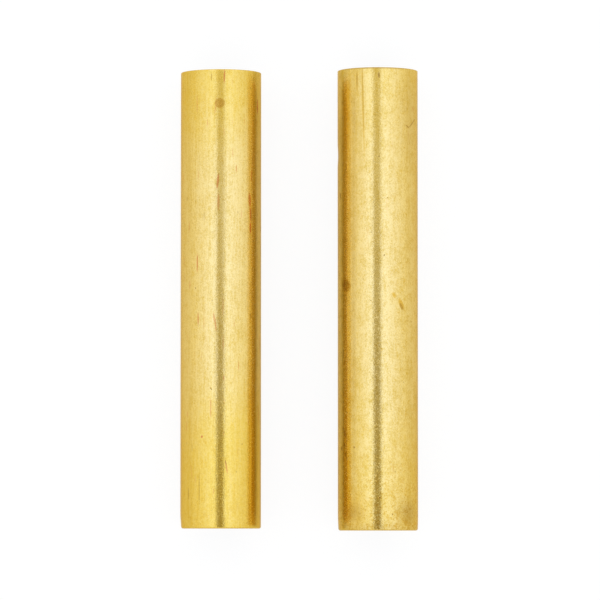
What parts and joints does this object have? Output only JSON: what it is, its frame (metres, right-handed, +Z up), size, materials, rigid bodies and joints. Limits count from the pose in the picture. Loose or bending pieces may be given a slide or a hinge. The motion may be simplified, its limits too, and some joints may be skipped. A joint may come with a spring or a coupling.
{
  "type": "plain brass tube",
  "caption": "Plain thin-walled round brass tubes, open at both ends, that line a drilled hole and take press-fit fittings in their bores.",
  "frame": {"origin": "on the bench, under the middle of the pair: the middle of the bottom of the bounding box", "axes": "+Y along both tubes, from their cutter-rolled front ends to their back ends, +X from the left tube to the right tube, +Z up from the bench"},
  "size_m": [0.0294, 0.057, 0.01],
  "materials": {
    "drawn_brass": "bright drawn surface with fine lengthwise streaks, a copper-red stain here and there, and one round tarnish spot",
    "tarnished_brass": "drawn surface gone slightly dull and mottled, with brown clouds near the front end"
  },
  "bodies": {
    "tube_left": {"tube_left": "drawn_brass"},
    "tube_right": {"tube_right": "tarnished_brass"}
  },
  "joints": [
    {"name": "tube_right_slide", "type": "slide", "parent": "tube_left", "child": "tube_right", "axis": [0, 1, 0], "range_m": [-0.03, 0.03]}
  ]
}
